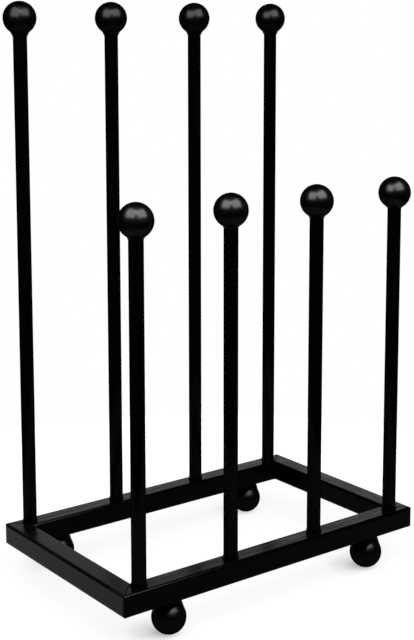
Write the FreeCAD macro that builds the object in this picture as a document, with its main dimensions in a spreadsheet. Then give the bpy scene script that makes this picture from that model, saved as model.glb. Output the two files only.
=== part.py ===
import FreeCAD, Part
import math
import os
import Sketcher

# Boot rack: a rectangular floor frame of mitred square tube on four ball feet. Round posts stand
# on it in two rows, a short row at the front and a tall row at the back, and each post carries a
# ball. Everything is welded, so the weld beads are solids of their own.
# +X runs along the long rails, +Y from the short row to the tall row, +Z up. The origin is on the
# floor under the middle of the frame. Millimetres.

DRIVING = {
    "rack_length": 420.0,  # over the side rails
    "rack_depth": 254.0,  # over the front and back rails
    "rail_size": 25.0,  # square tube, outside
    "rail_wall": 2.0,
    "rail_edge_radius": 3.0,  # rounded edges of the square tube
    "corner_radius": 3.0,  # upright edge of each mitred corner, ground round
    "post_radius": 8.0,
    "post_wall": 1.5,
    "end_post_inset": 27.0,  # from a long rail's end to the middle of its nearest post
    "tall_post_length": 572.0,
    "short_post_length": 369.0,
    "ball_radius": 19.0,
    "foot_radius": 19.0,
    "foot_flat_depth": 0.8,  # ground off the bottom of each foot
    "foot_inset": 65.0,  # from a long rail's end to the middle of its nearest foot
    "post_weld_leg": 2.5,  # along the rail
    "post_weld_height": 6.0,  # up the post
    "ball_weld_radius": 5.0,
    "foot_weld_radius": 13.6,  # where the weld ends beside the rail
    "foot_weld_root": 8.0,  # how far in the weld metal reaches
    "corner_weld_leg": 2.5,
}

POSTS_PER_ROW = 4
# on which side of the middle a piece stands, as the sign of its offset
ROWS = {"short": "-", "tall": ""}
ENDS = {"front": "-", "back": ""}
HANDS = {"left": "-", "right": ""}

DERIVED = {
    "post_bore": "=post_radius - post_wall",
    "post_spacing": f"=(rack_length - 2 * end_post_inset) / {POSTS_PER_ROW - 1}",
    "foot_offset": "=rack_length / 2 - foot_inset",
    "rail_edge": "=min(rail_edge_radius; rail_size / 2 - 0.5)",
    "bore_edge": "=max(rail_edge - rail_wall; 0.3)",
    "row_offset": "=(rack_depth - rail_size) / 2",
    "side_offset": "=(rack_length - rail_size) / 2",
    "foot_centre": "=foot_radius - foot_flat_depth",
    "rail_bottom": "=foot_centre + foot_radius",
    "rail_middle": "=rail_bottom + rail_size / 2",
    "rail_top": "=rail_bottom + rail_size",
    # a ball rests on the bore's edge at the top of its post
    "ball_rise": "=sqrt(ball_radius ^ 2 - post_bore ^ 2)",
    "tall_ball_centre": "=rail_top + tall_post_length + ball_rise",
    "short_ball_centre": "=rail_top + short_post_length + ball_rise",
    # how far a weld follows the rounded edge of a rail, always within the wall
    "weld_wrap": "=min(rail_wall; rail_edge) * 0.9",
}

doc = FreeCAD.newDocument("boot_rack")
sheet = doc.addObject("Spreadsheet::Sheet", "Sizes")
for row, (name, content) in enumerate([*DRIVING.items(), *DERIVED.items()], start=1):
    sheet.set(f"A{row}", name)
    sheet.set(f"B{row}", str(content))
    sheet.setAlias(f"B{row}", name)
doc.recompute()

nodes = []


def value(expression):
    return float(sheet.evalExpression(expression))


def node(item, label):
    """List a finished piece for the export, under the name of its node."""
    item.Label = label
    nodes.append(item)
    return item


def place(item, across="0", along="0", up="0", turn=0.0):
    """Bind a piece's position to the sheet, turned about +Z by whole degrees."""
    item.Placement = FreeCAD.Placement(FreeCAD.Vector(), FreeCAD.Rotation(turn, 0, 0))
    for axis, expression in zip("xyz", (across, along, up)):
        item.setExpression(f"Placement.Base.{axis}", expression)


def new_body(name):
    return doc.addObject("PartDesign::Body", name)


def origin_item(body, role):
    return next(item for item in body.Origin.OriginFeatures if item.Role == role)


def new_sketch(body, role):
    sketch = body.newObject("Sketcher::SketchObject", f"{body.Name}_sketch")
    sketch.AttachmentSupport = [(origin_item(body, role), "")]
    sketch.MapMode = "FlatFace"
    return sketch


def line(sketch, start, end):
    ends = (FreeCAD.Vector(*start, 0), FreeCAD.Vector(*end, 0))
    return sketch.addGeometry(Part.LineSegment(*ends), False)


def arc(sketch, centre, radius, start, end):
    """A counter-clockwise arc between two angles in degrees."""
    circle = Part.Circle(FreeCAD.Vector(*centre, 0), FreeCAD.Vector(0, 0, 1), radius)
    bow = Part.ArcOfCircle(circle, math.radians(start), math.radians(end))
    return sketch.addGeometry(bow, False)


def rule(sketch, kind, *items):
    sketch.addConstraint(Sketcher.Constraint(kind, *items))


def measure(sketch, kind, *items, equals):
    """A dimension bound to an expression of the sheet's sizes."""
    index = sketch.addConstraint(Sketcher.Constraint(kind, *items, value(equals)))
    sketch.setExpression(f"Constraints[{index}]", equals)


START, END, CENTRE = range(1, 4)  # which point of a line or an arc
ORIGIN = (-1, START)


def rounded_square(sketch, size, radius):
    """A square with rounded corners, centred on the sketch's origin."""
    half, bend = value(size) / 2, value(radius)
    flat = half - bend
    sides, bends = [], []
    for quarter in range(4):  # bottom, right, top and left, each with the corner that follows it
        angle = math.radians(90 * quarter)
        cos, sin = round(math.cos(angle)), round(math.sin(angle))
        start, end = (-flat, -half), (flat, -half)
        middle = (flat, -flat)
        turned = [(x * cos - y * sin, x * sin + y * cos) for x, y in (start, end, middle)]
        sides.append(line(sketch, turned[0], turned[1]))
        bends.append(arc(sketch, turned[2], bend, 90 * quarter - 90, 90 * quarter))
    for quarter in range(4):
        rule(sketch, "Tangent", sides[quarter], END, bends[quarter], START)
        rule(sketch, "Tangent", bends[quarter], END, sides[(quarter + 1) % 4], START)
        rule(sketch, "Horizontal" if quarter % 2 == 0 else "Vertical", sides[quarter])
    for bend_side in bends[1:]:
        rule(sketch, "Equal", bends[0], bend_side)
    measure(sketch, "Radius", bends[0], equals=radius)
    measure(sketch, "DistanceY", sides[0], START, *ORIGIN, equals=f"{size} / 2")
    measure(sketch, "DistanceX", *ORIGIN, sides[1], START, equals=f"{size} / 2")
    measure(sketch, "DistanceY", *ORIGIN, sides[2], START, equals=f"{size} / 2")
    measure(sketch, "DistanceX", sides[3], START, *ORIGIN, equals=f"{size} / 2")


def both_ways(feature):
    feature.Midplane = True
    return feature


def rail(label, length, across, along, turn):
    """Square tube along its own X, outer face towards its own -Y, mitred at both ends."""
    body = new_body(label)
    section = new_sketch(body, "YZ_Plane")
    rounded_square(section, "Sizes.rail_size", "Sizes.rail_edge")
    bar = both_ways(body.newObject("PartDesign::Pad", f"{label}_bar"))
    bar.Profile = section
    bar.setExpression("Length", length)

    bore_section = new_sketch(body, "YZ_Plane")
    rounded_square(bore_section, "(Sizes.rail_size - 2 * Sizes.rail_wall)", "Sizes.bore_edge")
    bore = both_ways(body.newObject("PartDesign::Pocket", f"{label}_bore"))
    bore.Profile = bore_section
    bore.Type = "ThroughAll"

    mitre = both_ways(body.newObject("PartDesign::Pocket", f"{label}_mitre"))
    mitre.Profile = mitre_sketch(body, length)
    mitre.Type = "ThroughAll"
    other_mitre = body.newObject("PartDesign::Mirrored", f"{label}_other_mitre")
    other_mitre.Originals = [mitre]
    other_mitre.MirrorPlane = (origin_item(body, "YZ_Plane"), [""])
    body.Tip = other_mitre
    place(body, across, along, "Sizes.rail_middle", turn)
    return node(body, label)


def mitre_sketch(body, length):
    """What is cut off one end: all past the 45 degree mitre and the rounded outer corner."""
    sketch = new_sketch(body, "XY_Plane")
    reach, side = value(length) / 2, value("Sizes.rail_size") / 2
    bend, spare = value("Sizes.corner_radius"), value("Sizes.rail_size")
    centre = (reach - bend, bend - side)
    on_mitre = (centre[0] + bend * math.sqrt(0.5), centre[1] - bend * math.sqrt(0.5))
    inside = (reach - 2 * side - spare, side + spare)
    far_top = (reach + spare, side + spare)
    far_bottom = (reach + spare, -side - spare)
    below = (centre[0], -side - spare)
    touch = (centre[0], -side)
    points = (on_mitre, inside, far_top, far_bottom, below, touch)
    lines = [line(sketch, start, end) for start, end in zip(points, points[1:])]
    bow = arc(sketch, centre, bend, -90, -45)
    for first, second in zip(lines, lines[1:]):
        rule(sketch, "Coincident", first, END, second, START)
    rule(sketch, "Coincident", lines[4], END, bow, START)
    rule(sketch, "Coincident", bow, END, lines[0], START)
    rule(sketch, "Horizontal", lines[1])
    rule(sketch, "Vertical", lines[2])
    rule(sketch, "Horizontal", lines[3])
    rule(sketch, "Vertical", lines[4])
    rule(sketch, "Vertical", bow, CENTRE, bow, START)
    rule(sketch, "PointOnObject", bow, CENTRE, lines[0])
    rule(sketch, "Angle", lines[0], math.radians(135))
    measure(sketch, "Radius", bow, equals="Sizes.corner_radius")
    measure(sketch, "DistanceX", *ORIGIN, bow, CENTRE, equals=f"{length} / 2 - Sizes.corner_radius")
    measure(sketch, "DistanceY", bow, CENTRE, *ORIGIN, equals="Sizes.rail_size / 2 - Sizes.corner_radius")
    measure(sketch, "DistanceY", *ORIGIN, lines[1], START, equals="Sizes.rail_size * 1.5")
    measure(sketch, "DistanceX", *ORIGIN, lines[2], START, equals=f"{length} / 2 + Sizes.rail_size")
    measure(sketch, "DistanceY", lines[3], START, *ORIGIN, equals="Sizes.rail_size * 1.5")
    return sketch


def post(label, length, across, along):
    """Round tube standing on the rail, cut square at both ends."""
    body = new_body(label)
    section = new_sketch(body, "XY_Plane")
    for radius in ("Sizes.post_radius", "Sizes.post_bore"):
        middle = FreeCAD.Vector()
        circle = section.addGeometry(Part.Circle(middle, FreeCAD.Vector(0, 0, 1), value(radius)), False)
        rule(section, "Coincident", circle, CENTRE, *ORIGIN)
        measure(section, "Radius", circle, equals=radius)
    tube = body.newObject("PartDesign::Pad", f"{label}_tube")
    tube.Profile = section
    tube.setExpression("Length", length)
    body.Tip = tube
    place(body, across, along, "Sizes.rail_top")
    return node(body, label)


def ball(label, radius, across, along, up):
    sphere = doc.addObject("Part::Sphere", label)
    sphere.setExpression("Radius", radius)
    place(sphere, across, along, up)
    return node(sphere, label)


def revolve(body, sketch):
    ring = body.newObject("PartDesign::Revolution", f"{body.Name}_ring")
    ring.Profile = sketch
    ring.ReferenceAxis = (sketch, ["V_Axis"])
    ring.Angle = 360
    body.Tip = ring


def seat_on_frame(label, body, frame):
    """Cut the bead back to the surface of the rails."""
    seated = doc.addObject("Part::Cut", f"{label}_seated")
    seated.Base = body
    seated.Tool = frame
    return node(seated, label)


def post_weld(label, across, along, frame):
    """Fillet weld between a post and its rail."""
    body = new_body(f"{label}_bead")
    sketch = new_sketch(body, "XZ_Plane")
    inner, outer = value("Sizes.post_radius"), value("Sizes.post_radius + Sizes.post_weld_leg")
    height, wrap = value("Sizes.post_weld_height"), value("Sizes.weld_wrap")
    points = ((inner, height), (inner, -wrap), (outer, -wrap), (outer, 0.0), (inner, height))
    lines = [line(sketch, start, end) for start, end in zip(points, points[1:])]
    for index, item in enumerate(lines):
        rule(sketch, "Coincident", item, END, lines[(index + 1) % len(lines)], START)
    rule(sketch, "Vertical", lines[0])
    rule(sketch, "Horizontal", lines[1])
    rule(sketch, "Vertical", lines[2])
    measure(sketch, "DistanceX", *ORIGIN, lines[0], START, equals="Sizes.post_radius")
    measure(sketch, "DistanceX", lines[1], START, lines[1], END, equals="Sizes.post_weld_leg")
    measure(sketch, "DistanceY", *ORIGIN, lines[0], START, equals="Sizes.post_weld_height")
    measure(sketch, "DistanceY", lines[1], START, *ORIGIN, equals="Sizes.weld_wrap")
    rule(sketch, "PointOnObject", lines[3], START, -1)
    revolve(body, sketch)
    place(body, across, along, "Sizes.rail_top")
    return seat_on_frame(label, body, frame)


def ball_weld(label, across, along, ball_centre):
    """Concave weld that fills the groove between a ball and the top of its post."""
    body = new_body(label)
    sketch = new_sketch(body, "XZ_Plane")
    ball_size, bead = value("Sizes.ball_radius"), value("Sizes.ball_weld_radius")
    bore, side_of_post = value("Sizes.post_bore"), value("Sizes.post_radius")
    rise = value("Sizes.ball_rise")
    bead_across = side_of_post + bead
    bead_drop = math.sqrt((ball_size + bead) ** 2 - bead_across**2)
    to_bead = math.degrees(math.atan2(-bead_drop, bead_across))
    to_bore = math.degrees(math.atan2(-rise, bore))
    rim = line(sketch, (bore, -rise), (side_of_post, -rise))
    wall = line(sketch, (side_of_post, -rise), (side_of_post, -bead_drop))
    hollow = arc(sketch, (bead_across, -bead_drop), bead, to_bead + 180, 180)
    on_ball = arc(sketch, (0, 0), ball_size, to_bore, to_bead)
    rule(sketch, "Coincident", rim, END, wall, START)
    rule(sketch, "Tangent", wall, END, hollow, END)
    rule(sketch, "Tangent", hollow, START, on_ball, END)
    rule(sketch, "Coincident", on_ball, START, rim, START)
    rule(sketch, "Coincident", on_ball, CENTRE, *ORIGIN)
    rule(sketch, "Horizontal", rim)
    rule(sketch, "Vertical", wall)
    measure(sketch, "Radius", on_ball, equals="Sizes.ball_radius")
    measure(sketch, "Radius", hollow, equals="Sizes.ball_weld_radius")
    measure(sketch, "DistanceX", *ORIGIN, rim, START, equals="Sizes.post_bore")
    measure(sketch, "DistanceX", *ORIGIN, rim, END, equals="Sizes.post_radius")
    revolve(body, sketch)
    place(body, across, along, ball_centre)
    return node(body, label)


def foot_weld(label, across, along, frame):
    """Heavy weld from the underside of a long rail onto a foot ball, dressed flush with its sides."""
    body = new_body(f"{label}_bead")
    sketch = new_sketch(body, "XZ_Plane")
    ball_size, root = value("Sizes.foot_radius"), value("Sizes.foot_weld_root")
    top = value("Sizes.foot_radius + Sizes.weld_wrap")
    shoulder = value("Sizes.foot_weld_radius")
    to_shoulder = math.degrees(math.atan2(top, shoulder))
    to_touch = to_shoulder - math.degrees(math.acos(ball_size / math.hypot(top, shoulder)))
    to_root = math.degrees(math.acos(root / ball_size))
    touch = [ball_size * turn(math.radians(to_touch)) for turn in (math.cos, math.sin)]
    flank = line(sketch, touch, (shoulder, top))
    brim = line(sketch, (shoulder, top), (root, top))
    core = line(sketch, (root, top), (root, ball_size * math.sin(math.radians(to_root))))
    on_ball = arc(sketch, (0, 0), ball_size, to_touch, to_root)
    rule(sketch, "Coincident", flank, END, brim, START)
    rule(sketch, "Coincident", brim, END, core, START)
    rule(sketch, "Coincident", core, END, on_ball, END)
    rule(sketch, "Tangent", on_ball, START, flank, START)
    rule(sketch, "Coincident", on_ball, CENTRE, *ORIGIN)
    rule(sketch, "Horizontal", brim)
    rule(sketch, "Vertical", core)
    measure(sketch, "Radius", on_ball, equals="Sizes.foot_radius")
    measure(sketch, "DistanceX", *ORIGIN, brim, START, equals="Sizes.foot_weld_radius")
    measure(sketch, "DistanceX", *ORIGIN, brim, END, equals="Sizes.foot_weld_root")
    measure(sketch, "DistanceY", *ORIGIN, brim, END, equals="Sizes.foot_radius + Sizes.weld_wrap")
    revolve(body, sketch)
    place(body, across, along, "Sizes.foot_centre")
    return seat_on_frame(label, between_sides(label, body, across, along), frame)


def between_sides(label, body, across, along):
    """What lies between the planes of a long rail's two side faces."""
    slab = doc.addObject("Part::Box", f"{label}_slab")
    slab.setExpression("Length", "2 * Sizes.foot_radius")
    slab.setExpression("Width", "Sizes.rail_size")
    slab.setExpression("Height", "Sizes.rail_middle")
    place(slab, f"{across} - Sizes.foot_radius", f"{along} - Sizes.rail_size / 2")
    dressed = doc.addObject("Part::Common", f"{label}_dressed")
    dressed.Base = body
    dressed.Tool = slab
    return dressed


def corner_weld(label, across, along, turn):
    """Upright fillet weld in an inner corner of the frame, its legs along its own +X and +Y."""
    body = new_body(label)
    sketch = new_sketch(body, "XY_Plane")
    leg = value("Sizes.corner_weld_leg")
    points = ((0, 0), (leg, 0), (0, leg), (0, 0))
    lines = [line(sketch, start, end) for start, end in zip(points, points[1:])]
    for index, item in enumerate(lines):
        rule(sketch, "Coincident", item, END, lines[(index + 1) % len(lines)], START)
    rule(sketch, "Coincident", lines[0], START, *ORIGIN)
    rule(sketch, "Horizontal", lines[0])
    rule(sketch, "Vertical", lines[2])
    measure(sketch, "DistanceX", lines[0], START, lines[0], END, equals="Sizes.corner_weld_leg")
    measure(sketch, "DistanceY", lines[2], END, lines[2], START, equals="Sizes.corner_weld_leg")
    bead = both_ways(body.newObject("PartDesign::Pad", f"{label}_bead"))
    bead.Profile = sketch
    bead.setExpression("Length", "Sizes.rail_size - 2 * Sizes.rail_edge")
    body.Tip = bead
    place(body, across, along, "Sizes.rail_middle", turn)
    return node(body, label)


# The frame: each rail is turned so that its outer face looks outwards.
rails = [
    rail("front_rail", "Sizes.rack_length", "0", "-Sizes.row_offset", 0),
    rail("right_rail", "Sizes.rack_depth", "Sizes.side_offset", "0", 90),
    rail("back_rail", "Sizes.rack_length", "0", "Sizes.row_offset", 180),
    rail("left_rail", "Sizes.rack_depth", "-Sizes.side_offset", "0", 270),
]
whole_frame = doc.addObject("Part::MultiFuse", "whole_frame")  # only shapes the welds
whole_frame.Shapes = rails

inner_across = "(Sizes.rack_length / 2 - Sizes.rail_size)"
inner_along = "(Sizes.rack_depth / 2 - Sizes.rail_size)"
corner_weld("front_left_corner_weld", f"-{inner_across}", f"-{inner_along}", 0)
corner_weld("front_right_corner_weld", inner_across, f"-{inner_along}", 90)
corner_weld("back_right_corner_weld", inner_across, inner_along, 180)
corner_weld("back_left_corner_weld", f"-{inner_across}", inner_along, 270)

for row, side in ROWS.items():
    ball_centre = f"Sizes.{row}_ball_centre"
    along = f"{side}Sizes.row_offset"
    for number in range(POSTS_PER_ROW):
        across = f"Sizes.post_spacing * {number - (POSTS_PER_ROW - 1) / 2}"
        post(f"{row}_post_{number + 1}", f"Sizes.{row}_post_length", across, along)
        post_weld(f"{row}_post_weld_{number + 1}", across, along, whole_frame)
        ball(f"{row}_ball_{number + 1}", "Sizes.ball_radius", across, along, ball_centre)
        ball_weld(f"{row}_ball_weld_{number + 1}", across, along, ball_centre)

for end, side in ENDS.items():
    along = f"{side}Sizes.row_offset"
    for hand, way in HANDS.items():
        across = f"{way}Sizes.foot_offset"
        foot = ball(f"{end}_{hand}_foot", "Sizes.foot_radius", across, along, "Sizes.foot_centre")
        foot.setExpression("Angle1", "-asin(Sizes.foot_centre / Sizes.foot_radius)")  # flat bottom
        foot_weld(f"{end}_{hand}_foot_weld", across, along, whole_frame)

doc.recompute()

for item in doc.Objects:
    if "Invalid" in item.State or "Error" in item.State:
        raise RuntimeError(f"{item.Name} failed to recompute: {item.State}")
os.makedirs("parts", exist_ok=True)
for item in nodes:
    shape = item.Shape
    if shape.isNull() or not shape.isValid() or not shape.Solids:
        raise RuntimeError(f"{item.Label} has no valid solid")
for item in nodes:
    item.Shape.exportStep(f"parts/{item.Label}.step")
    print(f"{item.Label}: {len(item.Shape.Solids)} solid(s), {item.Shape.Volume:.0f} mm3")
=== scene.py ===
import math

import bmesh
import bpy
from mathutils import Matrix, Vector, noise


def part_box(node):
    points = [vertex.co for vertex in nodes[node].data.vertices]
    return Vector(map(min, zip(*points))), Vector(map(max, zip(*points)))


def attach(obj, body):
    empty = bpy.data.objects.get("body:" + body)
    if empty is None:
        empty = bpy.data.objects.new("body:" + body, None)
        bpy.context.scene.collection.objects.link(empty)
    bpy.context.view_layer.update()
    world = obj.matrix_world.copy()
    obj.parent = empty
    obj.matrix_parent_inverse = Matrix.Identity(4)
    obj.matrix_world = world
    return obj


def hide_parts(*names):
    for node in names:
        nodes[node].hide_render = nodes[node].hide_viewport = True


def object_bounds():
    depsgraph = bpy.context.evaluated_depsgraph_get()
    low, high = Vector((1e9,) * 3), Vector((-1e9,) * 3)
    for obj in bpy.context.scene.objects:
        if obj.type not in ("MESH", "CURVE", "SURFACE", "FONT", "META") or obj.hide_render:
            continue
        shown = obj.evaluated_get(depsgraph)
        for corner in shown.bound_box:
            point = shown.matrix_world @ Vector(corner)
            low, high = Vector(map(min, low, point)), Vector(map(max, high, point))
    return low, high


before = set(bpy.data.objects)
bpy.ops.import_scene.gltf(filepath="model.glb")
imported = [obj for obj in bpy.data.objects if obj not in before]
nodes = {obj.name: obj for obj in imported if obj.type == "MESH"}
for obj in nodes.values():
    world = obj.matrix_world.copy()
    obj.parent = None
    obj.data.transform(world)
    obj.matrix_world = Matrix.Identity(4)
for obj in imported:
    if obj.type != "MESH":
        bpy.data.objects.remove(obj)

# Looks of the boot rack: satin black powder coat over a welded tube frame. Metres throughout.

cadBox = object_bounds()
rows = ("short", "tall")
postNumbers = (1, 2, 3, 4)
corners = [(end, hand) for end in ("front", "back") for hand in ("left", "right")]
mm = 0.001


def middleOf(node):
    low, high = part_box(node)
    return (low + high) / 2


railLow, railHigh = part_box("front_rail")
railBottom, railTop = railLow.z, railHigh.z
railHalf = (railTop - railBottom) / 2  # half of the square tube's width
print("frame loaded:", len(nodes), "nodes")

camera = {
    "place": (-0.9149, -1.1993, 0.6434),
    "yaw": -37.149,  # degrees about +Z, from looking along +Y
    "pitch": -8.068,
    "roll": -0.078,
    "lens": 73.88,  # mm
    "sensor": 36.0,  # mm, along the long side
    "lift": -0.1694,  # vertical shift of the frame
}


def addCamera(values):
    data = bpy.data.cameras.new("camera")
    data.sensor_width = values["sensor"]
    data.lens = values["lens"]
    data.shift_y = values["lift"]
    item = bpy.data.objects.new("camera", data)
    bpy.context.scene.collection.objects.link(item)
    turn = (
        Matrix.Rotation(math.radians(values["yaw"]), 4, "Z")
        @ Matrix.Rotation(math.radians(90 + values["pitch"]), 4, "X")
        @ Matrix.Rotation(math.radians(values["roll"]), 4, "Z")
    )
    item.matrix_world = Matrix.Translation(values["place"]) @ turn
    bpy.context.scene.camera = item


addCamera(camera)
print("camera placed")


def addNode(tree, kind, inputs=None, **settings):
    # inputs: socket -> a value, or another node's socket to link
    item = tree.nodes.new(kind)
    for name, setting in settings.items():
        setattr(item, name, setting)
    for name, content in (inputs or {}).items():
        if isinstance(content, bpy.types.NodeSocket):
            tree.links.new(content, item.inputs[name])
        else:
            item.inputs[name].default_value = content
    return item


def maths(tree, operation, *terms):
    return addNode(tree, "ShaderNodeMath", dict(enumerate(terms)), operation=operation).outputs[0]


def ramp(tree, content, start, end, low=0.0, high=1.0, interpolation="LINEAR"):
    limits = {"From Min": start, "From Max": end, "To Min": low, "To Max": high}
    inputs = {"Value": content, **limits}
    spread = addNode(tree, "ShaderNodeMapRange", inputs, interpolation_type=interpolation)
    return spread.outputs["Result"]


def noiseOf(tree, place, scale, detail, roughness=0.5):
    inputs = {"Vector": place, "Scale": scale, "Detail": detail, "Roughness": roughness}
    return addNode(tree, "ShaderNodeTexNoise", inputs).outputs["Fac"]


def newGroup(name, inputs, output):
    # one vector and some numbers go in, and one mask or height comes out
    tree = bpy.data.node_groups.new(name, "ShaderNodeTree")
    tree.interface.new_socket(name="Vector", in_out="INPUT", socket_type="NodeSocketVector")
    for title, default in inputs.items():
        socket = tree.interface.new_socket(name=title, in_out="INPUT", socket_type="NodeSocketFloat")
        socket.default_value = default
    tree.interface.new_socket(name=output, in_out="OUTPUT", socket_type="NodeSocketFloat")
    given = addNode(tree, "NodeGroupInput").outputs
    result = addNode(tree, "NodeGroupOutput").inputs[output]
    return tree, given, result


def orangePeelGroup():
    # the fine ripple of a baked powder coat: a soft wave with a finer one over it
    inputs = {"Scale": 420.0, "Fine Scale": 1302.0, "Fine": 0.12}
    tree, given, result = newGroup("orangePeel", inputs, "Height")
    soft = noiseOf(tree, given["Vector"], given["Scale"], detail=1.0)
    tight = noiseOf(tree, given["Vector"], given["Fine Scale"], detail=2.0)
    tree.links.new(maths(tree, "MULTIPLY_ADD", tight, given["Fine"], soft), result)
    return tree


def coatDriftGroup():
    # slow change of the coat's thickness and gloss
    tree, given, result = newGroup("coatDrift", {"Scale": 18.0, "Low": 0.32, "High": 0.68}, "Mask")
    slow = noiseOf(tree, given["Vector"], given["Scale"], detail=3.0)
    tree.links.new(ramp(tree, slow, given["Low"], given["High"]), result)
    return tree


def fineScuffsGroup():
    # sparse fine marks: only the crests of a noise are left
    tree, given, result = newGroup("fineScuffs", {"Scale": 60.0, "Low": 0.66, "High": 0.8}, "Mask")
    marks = noiseOf(tree, given["Vector"], given["Scale"], detail=5.0, roughness=0.65)
    tree.links.new(ramp(tree, marks, given["Low"], given["High"]), result)
    return tree


def topGlossGroup():
    # the coat lies thicker where a surface faces up, in faint streaks
    inputs = {"Scale": 240.0, "Streaks": 0.75, "Low": 0.38, "High": 0.62, "Tilted": 0.975, "Level": 0.998}
    tree, given, result = newGroup("topGloss", inputs, "Mask")
    normal = addNode(tree, "ShaderNodeNewGeometry").outputs["Normal"]
    upward = addNode(tree, "ShaderNodeSeparateXYZ", {"Vector": normal}).outputs["Z"]
    facing = ramp(tree, upward, given["Tilted"], given["Level"])
    drawn = noiseOf(tree, given["Vector"], given["Scale"], detail=3.0, roughness=0.6)
    streaks = ramp(tree, drawn, given["Low"], given["High"])
    dull = maths(tree, "MULTIPLY", streaks, given["Streaks"])
    tree.links.new(maths(tree, "MULTIPLY", maths(tree, "SUBTRACT", 1.0, dull), facing), result)
    return tree


orangePeel = orangePeelGroup()
coatDrift = coatDriftGroup()
fineScuffs = fineScuffsGroup()
topGloss = topGlossGroup()

coat = {
    "colour": (0.0007, 0.0003, 0.0009, 1.0),
    "thinColour": (0.0012, 0.0007, 0.0014, 1.0),
    "rubbed": (0.0040, 0.0036, 0.0042, 1.0),
    "peelDepth": 0.012 * mm,
    "rubbedGloss": 0.1,  # how much rougher a scuff is
    "driftGloss": (-0.02, 0.03),  # how the slow change moves the roughness
    "topRoughness": 0.3,
    "rim": (0.3, 0.6),  # between these a round piece's lacquer fades: 0 faces the eye, 1 is the rim
    "rimGloss": 0.2,  # share of the lacquer that is left at the rim
    "lacquerIor": 1.45,
}
finishes = {
    # stretch below 1 draws the marks out along that axis, top is the thicker coat of the top faces,
    # and round is the weight of a lacquer that fades towards the rim of a round piece
    "longRailCoat": {"roughness": 0.15, "ior": 1.065, "stretch": (0.08, 1, 1), "top": 1.135},
    "leftRailCoat": {"roughness": 0.29, "ior": 1.13, "stretch": (1, 0.08, 1)},
    "rightRailCoat": {"roughness": 0.15, "ior": 1.07, "stretch": (1, 0.08, 1), "top": 1.12},
    "postCoat": {"roughness": 0.12, "ior": 1.0, "stretch": (1, 1, 0.1), "round": 0.044},
    "shortBallCoat": {"roughness": 0.27, "ior": 1.0, "stretch": (1, 1, 1), "round": 0.101},
    "tallBallCoat": {"roughness": 0.27, "ior": 1.0, "stretch": (1, 1, 1), "round": 0.054},
    "footCoat": {"roughness": 0.27, "ior": 1.0, "stretch": (1, 1, 1), "round": 0.055},
    "weldCoat": {"roughness": 0.2, "ior": 1.05, "stretch": (1, 1, 1)},
}


def blendColour(tree, factor, first, second):
    inputs = {"Factor": factor, "A": first, "B": second}
    return addNode(tree, "ShaderNodeMix", inputs, data_type="RGBA").outputs[2]


def effect(tree, group, **inputs):
    return addNode(tree, "ShaderNodeGroup", inputs, node_tree=group).outputs[0]


def coatMaterial(name, finish):
    material = bpy.data.materials.new(name)
    material.use_nodes = True
    tree = material.node_tree
    tree.nodes.clear()
    place = addNode(tree, "ShaderNodeTexCoord").outputs["Object"]
    drawn = addNode(tree, "ShaderNodeMapping", {"Vector": place, "Scale": finish["stretch"]})
    along = drawn.outputs["Vector"]

    height = effect(tree, orangePeel, Vector=place)
    drift = effect(tree, coatDrift, Vector=place)
    marks = effect(tree, fineScuffs, Vector=along)

    tone = blendColour(tree, drift, coat["colour"], coat["thinColour"])
    colour = blendColour(tree, marks, tone, coat["rubbed"])
    limits = [finish["roughness"] + change for change in coat["driftGloss"]]
    gloss = ramp(tree, drift, 0.0, 1.0, *limits)
    rubbed = maths(tree, "MULTIPLY_ADD", marks, coat["rubbedGloss"], gloss)
    bump = addNode(tree, "ShaderNodeBump", {"Height": height, "Distance": coat["peelDepth"]})
    inputs = {
        "Base Color": colour,
        "Roughness": rubbed,
        "IOR": finish["ior"],
        "Normal": bump.outputs["Normal"],
    }
    if "top" in finish:
        top = effect(tree, topGloss, Vector=along)
        inputs |= {"Coat Weight": top, "Coat IOR": finish["top"], "Coat Roughness": coat["topRoughness"]}
    if "round" in finish:
        turned = addNode(tree, "ShaderNodeLayerWeight", {"Blend": 0.5}).outputs["Facing"]
        facing = finish["round"]
        sheen = ramp(tree, turned, *coat["rim"], facing, facing * coat["rimGloss"], "SMOOTHSTEP")
        inputs |= {"Coat Weight": sheen, "Coat IOR": coat["lacquerIor"]}
        inputs["Coat Roughness"] = finish["roughness"]
    shader = addNode(tree, "ShaderNodeBsdfPrincipled", inputs)
    addNode(tree, "ShaderNodeOutputMaterial", {"Surface": shader.outputs["BSDF"]})
    return material


coats = {name: coatMaterial(name, finish) for name, finish in finishes.items()}


def coatFor(name):
    if name in ("front_rail", "back_rail"):
        return coats["longRailCoat"]
    if name in ("left_rail", "right_rail"):
        return coats["leftRailCoat" if name == "left_rail" else "rightRailCoat"]
    if "post" in name:
        return coats["postCoat"]
    if "foot" in name:
        return coats["footCoat"]
    return coats["shortBallCoat"] if "short" in name else coats["tallBallCoat"]


for name, item in nodes.items():
    for materialSlot in item.material_slots:
        materialSlot.material = coatFor(name)
print("powder coat on", len(nodes), "nodes")


sharpEdge = math.radians(42)  # edges under it are smooth
mergeWithin = 0.001 * mm
seedStep = Vector((7.3, 3.1, 5.7))  # from one seed's lumps to the next in the noise


def spunRing(profile, steps):
    # a closed (radius, height) outline, spun about +Z
    shape = bmesh.new()
    outline = [shape.verts.new((radius, 0, height)) for radius, height in profile]
    edges = [shape.edges.new(pair) for pair in zip(outline, outline[1:] + outline[:1])]
    bmesh.ops.spin(
        shape,
        geom=outline + edges,
        cent=(0, 0, 0),
        axis=(0, 0, 1),
        angle=math.tau,
        steps=steps,
        use_merge=True,
    )
    bmesh.ops.remove_doubles(shape, verts=shape.verts, dist=mergeWithin)
    bmesh.ops.recalc_face_normals(shape, faces=shape.faces)
    return shape


def lumps(spot, wavelength, seed):
    # smooth noise from -1 to 1, other for each seed
    return noise.noise(spot / wavelength + seedStep * seed)


def levelPart(spot):
    return Vector((spot.x, spot.y, 0))


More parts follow.
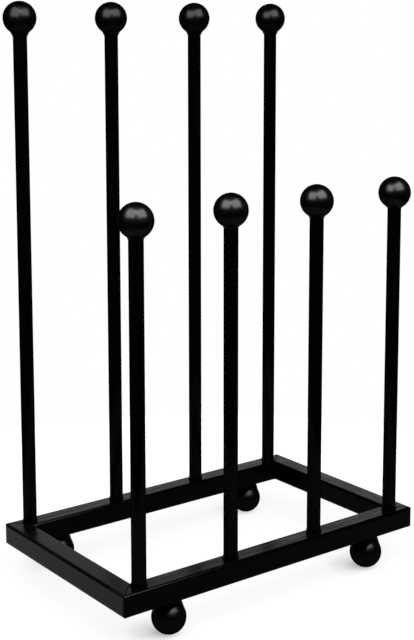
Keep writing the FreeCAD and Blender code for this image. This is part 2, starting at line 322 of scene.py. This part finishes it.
def addPiece(name, shape, place, *replaced):
    bmesh.ops.translate(shape, verts=shape.verts, vec=place)
    for face in shape.faces:
        face.smooth = True
    for edge in shape.edges:
        edge.smooth = edge.calc_face_angle(0.0) < sharpEdge
    mesh = bpy.data.meshes.new(name)
    shape.to_mesh(mesh)
    shape.free()
    mesh.materials.append(coats["weldCoat"])
    piece = bpy.data.objects.new(name, mesh)
    bpy.context.scene.collection.objects.link(piece)
    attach(piece, "root")
    if replaced:
        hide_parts(*replaced)


postBead = {
    "flare": {"short": 1.2 * mm, "tall": 0.9 * mm},  # how far it spreads over the rail
    "climb": {"short": 7.0 * mm, "tall": 5.5 * mm},  # how far it climbs the post
    "hollow": 1.5,  # 1 is a straight flank, more is a hollower one
    "layers": 9,
    "sunk": 1.2 * mm,  # below the rail's top, within its wall
    "tuck": 0.6 * mm,  # into the post's wall
    "ripples": 15,  # puddles round the post
    "rippleDepth": 0.12 * mm,
    "rippleDrift": 2.0,  # radians by which the puddles stray from even steps
    "rippleDriftSize": 9.0 * mm,
    "lumpDepth": 0.3 * mm,
    "lumpSize": 5.0 * mm,
    "lumpStart": 0.3,  # share of the flare over which ripples and lumps set in
    "climbChange": 0.3,  # share by which the climb rises and falls round the post
    "climbSize": 8.0 * mm,
    "firstSeed": 1,  # and one more for each further post
    "climbSeed": 40,  # added to the bead's own
    "steps": 96,
}


def addPostBead(row, number, seed):
    values = postBead
    post = f"{row}_post_{number}"
    low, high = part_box(post)
    radius = (high.x - low.x) / 2
    flare, climb = values["flare"][row], values["climb"][row]
    skin = [(radius + flare, -values["sunk"])]
    for layer in range(values["layers"]):
        share = layer / values["layers"]
        skin.append((radius + flare * (1 - share) ** values["hollow"], climb * share))
    inside = radius - values["tuck"]
    shape = spunRing(skin + [(inside, climb), (inside, -values["sunk"])], values["steps"])
    for vert in shape.verts:
        out = levelPart(vert.co)
        if out.length < radius:
            continue
        around = math.atan2(vert.co.y, vert.co.x)
        body = min(1.0, (out.length - radius) / (values["lumpStart"] * flare))
        drift = values["rippleDrift"] * lumps(out, values["rippleDriftSize"], seed)
        push = values["rippleDepth"] * math.sin(around * values["ripples"] + drift)
        push += values["lumpDepth"] * lumps(vert.co, values["lumpSize"], seed)
        vert.co += out.normalized() * push * body
        if vert.co.z > 0:
            change = lumps(out, values["climbSize"], seed + values["climbSeed"])
            vert.co.z *= 1 + values["climbChange"] * change
    place = Vector((middleOf(post).x, middleOf(post).y, railTop))
    addPiece(f"{row}_post_bead_{number}", shape, place, f"{row}_post_weld_{number}")


ballBead = {
    # radius of the concave skin on each post, in mm
    "hollow": {"short": (5.0, 3.7, 5.0, 4.5), "tall": (7.5, 7.5, 7.0, 7.0)},
    "fullness": {"short": 0.1, "tall": 0.5},  # 0 is the plain hollow, 1 a flat bevel
    "points": 9,
    "tuck": 0.7 * mm,  # into the ball and the post
    "lumpDepth": 0.3 * mm,
    "lumpSize": 6.0 * mm,
    "lumpLift": 0.25,  # share of their depth by which all lumps stand out
    "sag": 0.6,  # how far a lump runs down for each step out
    "firstSeed": 21,
    "steps": 80,
}


def addBallBead(row, number, seed):
    values = ballBead
    postLow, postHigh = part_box(f"{row}_post_{number}")
    ballLow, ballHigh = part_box(f"{row}_ball_{number}")
    postRadius = (postHigh.x - postLow.x) / 2
    ballRadius = (ballHigh.z - ballLow.z) / 2
    hollow = values["hollow"][row][number - 1] * mm
    across = postRadius + hollow
    drop = math.sqrt((ballRadius + hollow) ** 2 - across**2)
    toBall = math.atan2(drop, -across)  # from the hollow's centre to where it meets the ball
    bottom = Vector((postRadius, -drop))
    top = Vector((across + hollow * math.cos(toBall), hollow * math.sin(toBall) - drop))
    skin = []
    for step in range(values["points"]):
        share = step / (values["points"] - 1)
        angle = math.pi + (toBall - math.pi) * share
        curved = Vector((across + hollow * math.cos(angle), hollow * math.sin(angle) - drop))
        skin.append(curved.lerp(bottom.lerp(top, share), values["fullness"][row]))
    tuck = values["tuck"]
    inner = [(top.x - tuck, top.y + tuck), (postRadius - tuck, bottom.y)]
    shape = spunRing([tuple(point) for point in skin] + inner, values["steps"])
    for vert in shape.verts:
        out = levelPart(vert.co)
        share = (vert.co.z - bottom.y) / (top.y - bottom.y)
        if out.length < postRadius or not 0 < share < 1:
            continue
        lift = values["lumpDepth"] * (lumps(vert.co, values["lumpSize"], seed) + values["lumpLift"])
        vert.co += (out.normalized() - Vector((0, 0, values["sag"]))) * lift * math.sin(math.pi * share)
    place = middleOf(f"{row}_ball_{number}")
    addPiece(f"{row}_ball_bead_{number}", shape, place, f"{row}_ball_weld_{number}")


posts = [(row, number) for row in rows for number in postNumbers]
for count, (row, number) in enumerate(posts):
    addPostBead(row, number, postBead["firstSeed"] + count)
    addBallBead(row, number, ballBead["firstSeed"] + count)
print("post and ball beads:", 2 * len(posts))

footBead = {
    "neck": 13.7 * mm,  # radius under the rail
    "waist": 0.2 * mm,  # how hollow the flanks are
    "lap": 2.6 * mm,  # how far the dressed sides run up the rail's
    "proud": 0.05 * mm,  # and how far they stand out there
    "dressing": 0.7 * mm,  # over which the sides turn flat
    "core": 8.0 * mm,
    "tuck": 0.8 * mm,  # into the ball
    "lumpDepth": 0.3 * mm,
    "lumpSize": 12.0 * mm,
    "lumpClear": 1.2,  # times the core's radius, inside which there are no lumps
    "lumpEnd": 1.2,  # share of the flank's height up to which there are any
    "lumpFade": 0.8,  # 1 lets them die out at the rail, less keeps some
    "firstSeed": 60,
    "rows": 14,
    "lapRows": 4,
    "steps": 120,
}


def addFootBead(end, hand, seed):
    values = footBead
    foot = f"{end}_{hand}_foot"
    low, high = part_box(foot)
    radius = (high.x - low.x) / 2
    centre = Vector((middleOf(foot).x, middleOf(foot).y, high.z - radius))
    brim = railBottom - centre.z
    neck, lap = values["neck"], values["lap"]
    toNeck = math.atan2(brim, neck)
    touch = toNeck - math.acos(radius / math.hypot(brim, neck))  # where the flank leaves the ball
    start = Vector((radius * math.cos(touch), radius * math.sin(touch)))
    finish = Vector((neck, brim))
    skin = []
    for step in range(values["rows"]):
        share = step / (values["rows"] - 1)
        point = start.lerp(finish, share)
        skin.append((point.x - values["waist"] * math.sin(math.pi * share) ** 2, point.y))
    lapRows = values["lapRows"]
    skin += [(neck, brim + lap * (step + 1) / lapRows) for step in range(lapRows)]
    inner = [
        (values["core"], brim + lap),
        (values["core"], start.y - values["tuck"]),
        (start.x - values["tuck"], start.y - values["tuck"]),
    ]
    shape = spunRing(skin + inner, values["steps"])
    for vert in shape.verts:
        out = levelPart(vert.co)
        share = (vert.co.z - start.y) / (brim - start.y)
        if out.length > values["core"] * values["lumpClear"] and 0 < share < values["lumpEnd"]:
            lift = values["lumpDepth"] * lumps(vert.co, values["lumpSize"], seed)
            vert.co += out.normalized() * lift * math.sin(math.pi * min(share, 1.0) * values["lumpFade"])
        rise = max(0.0, vert.co.z - brim) / lap
        side = railHalf + values["proud"] * (1 - 2 * rise)
        free = side - values["dressing"]
        if abs(vert.co.y) > free:
            pressed = 1 - math.exp((free - abs(vert.co.y)) / values["dressing"])
            vert.co.y = math.copysign(free + values["dressing"] * pressed, vert.co.y)
    addPiece(f"{end}_{hand}_foot_bead", shape, centre, f"{foot}_weld")


for seed, (end, hand) in enumerate(corners, start=footBead["firstSeed"]):
    addFootBead(end, hand, seed)
print("foot beads:", len(corners))

cornerBead = {
    "leg": 2.4 * mm,
    "hollow": 0.7,  # share of the leg that the skin is hollowed by
    "points": 6,
    "layers": 16,
    "tuck": 0.5 * mm,  # into the rails' walls
    "lumpDepth": 0.3 * mm,
    "lumpSize": 4.0 * mm,
    "firstSeed": 80,
}
mitreSeam = {
    "width": 2.2 * mm,
    "height": 0.3 * mm,
    "tuck": 0.05 * mm,  # into the rails' walls
    "bow": 1.6 * mm,  # how far the dressed seam strays from the straight diagonal
    "stray": 0.3 * mm,
    "straySize": 7.0 * mm,
    "outerGap": 3.0 * mm,  # left free at the frame's rounded outer corner
    "innerGap": 2.6 * mm,
    "taper": 1 / 6,  # share of the length over which each end thins out
    "endHeight": 0.4,  # share of the height that is left at the very end
    "points": 7,
    "stations": 24,
}


def drawnOut(outline, step, count):
    # a closed outline drawn along a straight line in equal steps, and capped
    shape = bmesh.new()
    first = [shape.verts.new(point) for point in outline]
    edges = [shape.edges.new(pair) for pair in zip(first, first[1:] + first[:1])]
    bmesh.ops.spin(
        shape,
        geom=first + edges,
        cent=(0, 0, 0),
        axis=(0, 0, 1),
        dvec=step,
        angle=0.0,
        steps=count,
        use_duplicate=False,
    )
    ends = [edge for edge in shape.edges if edge.is_boundary]
    bmesh.ops.holes_fill(shape, edges=ends, sides=len(outline))
    bmesh.ops.recalc_face_normals(shape, faces=shape.faces)
    return shape


def addCornerBead(end, hand, seed):
    values = cornerBead
    low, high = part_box(f"{end}_{hand}_corner_weld")
    sideX = 1 if hand == "left" else -1  # the bead's legs run inwards from the corner
    sideY = 1 if end == "front" else -1
    corner = Vector((low.x if sideX > 0 else high.x, low.y if sideY > 0 else high.y, low.z))
    leg, tuck = values["leg"], values["tuck"]
    outline = [(-tuck, -tuck), (leg, -tuck)]
    for step in range(values["points"]):
        angle = math.radians(90) * (1 - step / (values["points"] - 1))
        reach = leg * values["hollow"]
        outline.append((leg - reach * math.cos(angle), leg - reach * math.sin(angle)))
    outline.append((-tuck, leg))
    outline = [Vector((x * sideX, y * sideY, 0)) for x, y in outline]
    step = (0, 0, (high.z - low.z) / values["layers"])
    shape = drawnOut(outline, step, values["layers"])
    for vert in shape.verts:
        body = min(1.0, math.hypot(vert.co.x, vert.co.y) / leg)
        lift = values["lumpDepth"] * lumps(vert.co, values["lumpSize"], seed) * body
        vert.co += Vector((sideX, sideY, 0)) * lift
    addPiece(f"{end}_{hand}_corner_bead", shape, corner, f"{end}_{hand}_corner_weld")


def addMitreSeam(end, hand, face, seed):
    values = mitreSeam
    low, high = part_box(f"{end}_rail")
    outer = Vector((low.x if hand == "left" else high.x, low.y if end == "front" else high.y, 0))
    inward = Vector((1 if hand == "left" else -1, 1 if end == "front" else -1, 0)).normalized()
    across = Vector((-inward.y, inward.x, 0))
    up = 1 if face == "top" else -1
    level = railTop if up > 0 else railBottom
    length = 2 * railHalf * math.sqrt(2) - values["outerGap"] - values["innerGap"]
    outline = []
    for step in range(values["points"]):
        angle = math.pi * step / (values["points"] - 1)
        height = values["height"] * math.sin(angle) - values["tuck"]
        outline.append(across * values["width"] / 2 * math.cos(angle) + Vector((0, 0, up * height)))
    shape = drawnOut(outline, inward * length / values["stations"], values["stations"])
    for vert in shape.verts:
        share = vert.co.dot(inward) / length
        taper = max(0.0, min(1.0, share / values["taper"], (1 - share) / values["taper"]))
        stray = values["bow"] * math.sin(math.pi * share)
        stray += values["stray"] * lumps(vert.co, values["straySize"], seed)
        vert.co.z *= values["endHeight"] + (1 - values["endHeight"]) * taper
        vert.co += across * stray * taper
    place = outer + inward * values["outerGap"] + Vector((0, 0, level))
    addPiece(f"{end}_{hand}_{face}_mitre_seam", shape, place)


for seed, (end, hand) in enumerate(corners, start=cornerBead["firstSeed"]):
    addCornerBead(end, hand, seed)
    for face in ("top", "under"):
        addMitreSeam(end, hand, face, seed)
print("corner beads and mitre seams:", 3 * len(corners))

studio = {
    "floorRadius": 0.62,  # past its edge the room is as white to the camera
    "floorSides": 96,
    "floorColour": (0.32, 0.32, 0.32, 1.0),
    "floorGlow": 0.79,  # seen by the camera and in reflections, never a light on the object
    "farGlow": 1.0,  # where the lamps no longer reach
    "paintedShadeReach": 0.035,  # how far from a foot the painted shade reaches over the floor's glow
    "paintedShadeSide": (0.6, -0.85, 0.4),  # the painted shade falls away from this side; no lamp stands here
    "paintedShadeRange": (0.2, 0.95),  # clearances of the darkest painted shade and of none
    "paintedShadeLevel": (0.3, 0.65),  # what the darkest painted shade leaves of the glow, at the front feet and at the back ones
    "paintedShadeSamples": 32,
    "nearEdge": 0.26,
    "farEdge": 0.5,
    "fill": 0.6,  # the room's light
    "roomLevel": 0.02,  # what reflections see away from the sweep
    "sweepHeading": (0.82, 0.57, 0.0),  # towards the middle of the white sweep
    "sweepSides": (0.15, 0.85),  # cosines from its edge to its full white
    "sweepTop": (0.75, 0.35),  # height at which it has gone, and up to which it is full
    "paneGap": 0.01,  # between a window's light and what reflections show of it
}
windowLamps = {
    # light is the radiance that falls on things, shine the one that reflections show
    "leftWindow": {
        "place": (-0.66, -0.22, 1.07),
        "width": 0.84,
        "height": 0.76,
        "light": 1.6,
        "shine": 53.0,
    },
    "frontWindow": {
        "place": (0.11, -1.0, 1.46),
        "width": 1.42,
        "height": 1.2,
        "light": 1.45,
        "shine": 54.0,
    },
}


def seenDirectly(tree, share=1.0):
    # 1 for what the camera sees, and for what shows in reflections and through glass
    path = addNode(tree, "ShaderNodeLightPath").outputs
    mirrored = maths(tree, "MAXIMUM", path["Is Glossy Ray"], path["Is Transmission Ray"])
    mirrored = maths(tree, "MULTIPLY", mirrored, share)
    return maths(tree, "MAXIMUM", path["Is Camera Ray"], mirrored)


def addFloor(values):
    shape = bmesh.new()
    sides, radius = values["floorSides"], values["floorRadius"]
    bmesh.ops.create_circle(shape, cap_ends=True, segments=sides, radius=radius)
    mesh = bpy.data.meshes.new("floor")
    shape.to_mesh(mesh)
    shape.free()
    floor = bpy.data.objects.new("floor", mesh)
    bpy.context.scene.collection.objects.link(floor)
    material = bpy.data.materials.new("paleFloor")
    material.use_nodes = True
    tree = material.node_tree
    tree.nodes.clear()
    place = addNode(tree, "ShaderNodeTexCoord").outputs["Object"]
    distance = addNode(tree, "ShaderNodeVectorMath", {0: place}, operation="LENGTH").outputs["Value"]
    edges = (values["nearEdge"], values["farEdge"])
    glow = ramp(tree, distance, *edges, values["floorGlow"], values["farGlow"], "SMOOTHSTEP")
    # painted shade: an occlusion test tilted to one side darkens the floor's glow beside the feet, less
    # at the back feet; no lamp casts it
    tilt = addNode(tree, "ShaderNodeCombineXYZ", dict(enumerate(values["paintedShadeSide"]))).outputs[0]
    inputs = {"Distance": values["paintedShadeReach"], "Normal": tilt}
    samples = values["paintedShadeSamples"]
    clearance = addNode(tree, "ShaderNodeAmbientOcclusion", inputs, samples=samples).outputs["AO"]
    depth = addNode(tree, "ShaderNodeSeparateXYZ", {"Vector": place}).outputs["Y"]
    darkest = ramp(tree, depth, cadBox[0].y, cadBox[1].y, *values["paintedShadeLevel"])
    shade = ramp(tree, clearance, *values["paintedShadeRange"], darkest, 1.0)
    glow = maths(tree, "MULTIPLY", glow, shade)
    paint = addNode(tree, "ShaderNodeBsdfDiffuse", {"Color": values["floorColour"]})
    strength = maths(tree, "MULTIPLY", glow, seenDirectly(tree))
    light = addNode(tree, "ShaderNodeEmission", {"Strength": strength})
    both = addNode(tree, "ShaderNodeAddShader", {0: paint.outputs[0], 1: light.outputs[0]})
    addNode(tree, "ShaderNodeOutputMaterial", {"Surface": both.outputs[0]})
    mesh.materials.append(material)


def addRoom(values):
    world = bpy.data.worlds.new("room")
    world.use_nodes = True
    bpy.context.scene.world = world
    tree = world.node_tree
    tree.nodes.clear()
    heading = addNode(tree, "ShaderNodeTexCoord").outputs["Generated"]
    inputs = {0: heading, 1: values["sweepHeading"]}
    turned = addNode(tree, "ShaderNodeVectorMath", inputs, operation="DOT_PRODUCT").outputs["Value"]
    height = addNode(tree, "ShaderNodeSeparateXYZ", {"Vector": heading}).outputs["Z"]
    wide = ramp(tree, turned, *values["sweepSides"], interpolation="SMOOTHSTEP")
    tall = ramp(tree, height, *values["sweepTop"], interpolation="SMOOTHSTEP")
    sweep = maths(tree, "MULTIPLY", wide, tall)
    shown = maths(tree, "MAXIMUM", seenDirectly(tree, sweep), values["roomLevel"])
    path = addNode(tree, "ShaderNodeLightPath").outputs
    fill = maths(tree, "MULTIPLY", path["Is Diffuse Ray"], values["fill"])
    strength = maths(tree, "MAXIMUM", shown, fill)
    light = addNode(tree, "ShaderNodeBackground", {"Color": (1, 1, 1, 1), "Strength": strength})
    addNode(tree, "ShaderNodeOutputWorld", {"Surface": light.outputs[0]})


def addWindow(name, values, radiance, mirrored):
    data = bpy.data.lights.new(name, "AREA")
    data.shape = "RECTANGLE"
    data.size, data.size_y = values["width"], values["height"]
    data.energy = radiance * math.pi * values["width"] * values["height"]
    lamp = bpy.data.objects.new(name, data)
    bpy.context.scene.collection.objects.link(lamp)
    place = Vector(values["place"])
    aim = (cadBox[0] + cadBox[1]) / 2 - place
    # a pane of its own in front, or the two would hide each other
    spot = place + aim.normalized() * (studio["paneGap"] if mirrored else 0.0)
    lamp.matrix_world = Matrix.Translation(spot) @ aim.to_track_quat("-Z", "Y").to_matrix().to_4x4()
    lamp.visible_camera = False
    lamp.visible_diffuse = not mirrored
    lamp.visible_glossy = mirrored


addFloor(studio)
addRoom(studio)
for name, values in windowLamps.items():
    addWindow(name, values, values["light"], mirrored=False)
    addWindow(name + "Shine", values, values["shine"], mirrored=True)
bpy.context.scene.view_settings.view_transform = "Standard"
print("studio lit")
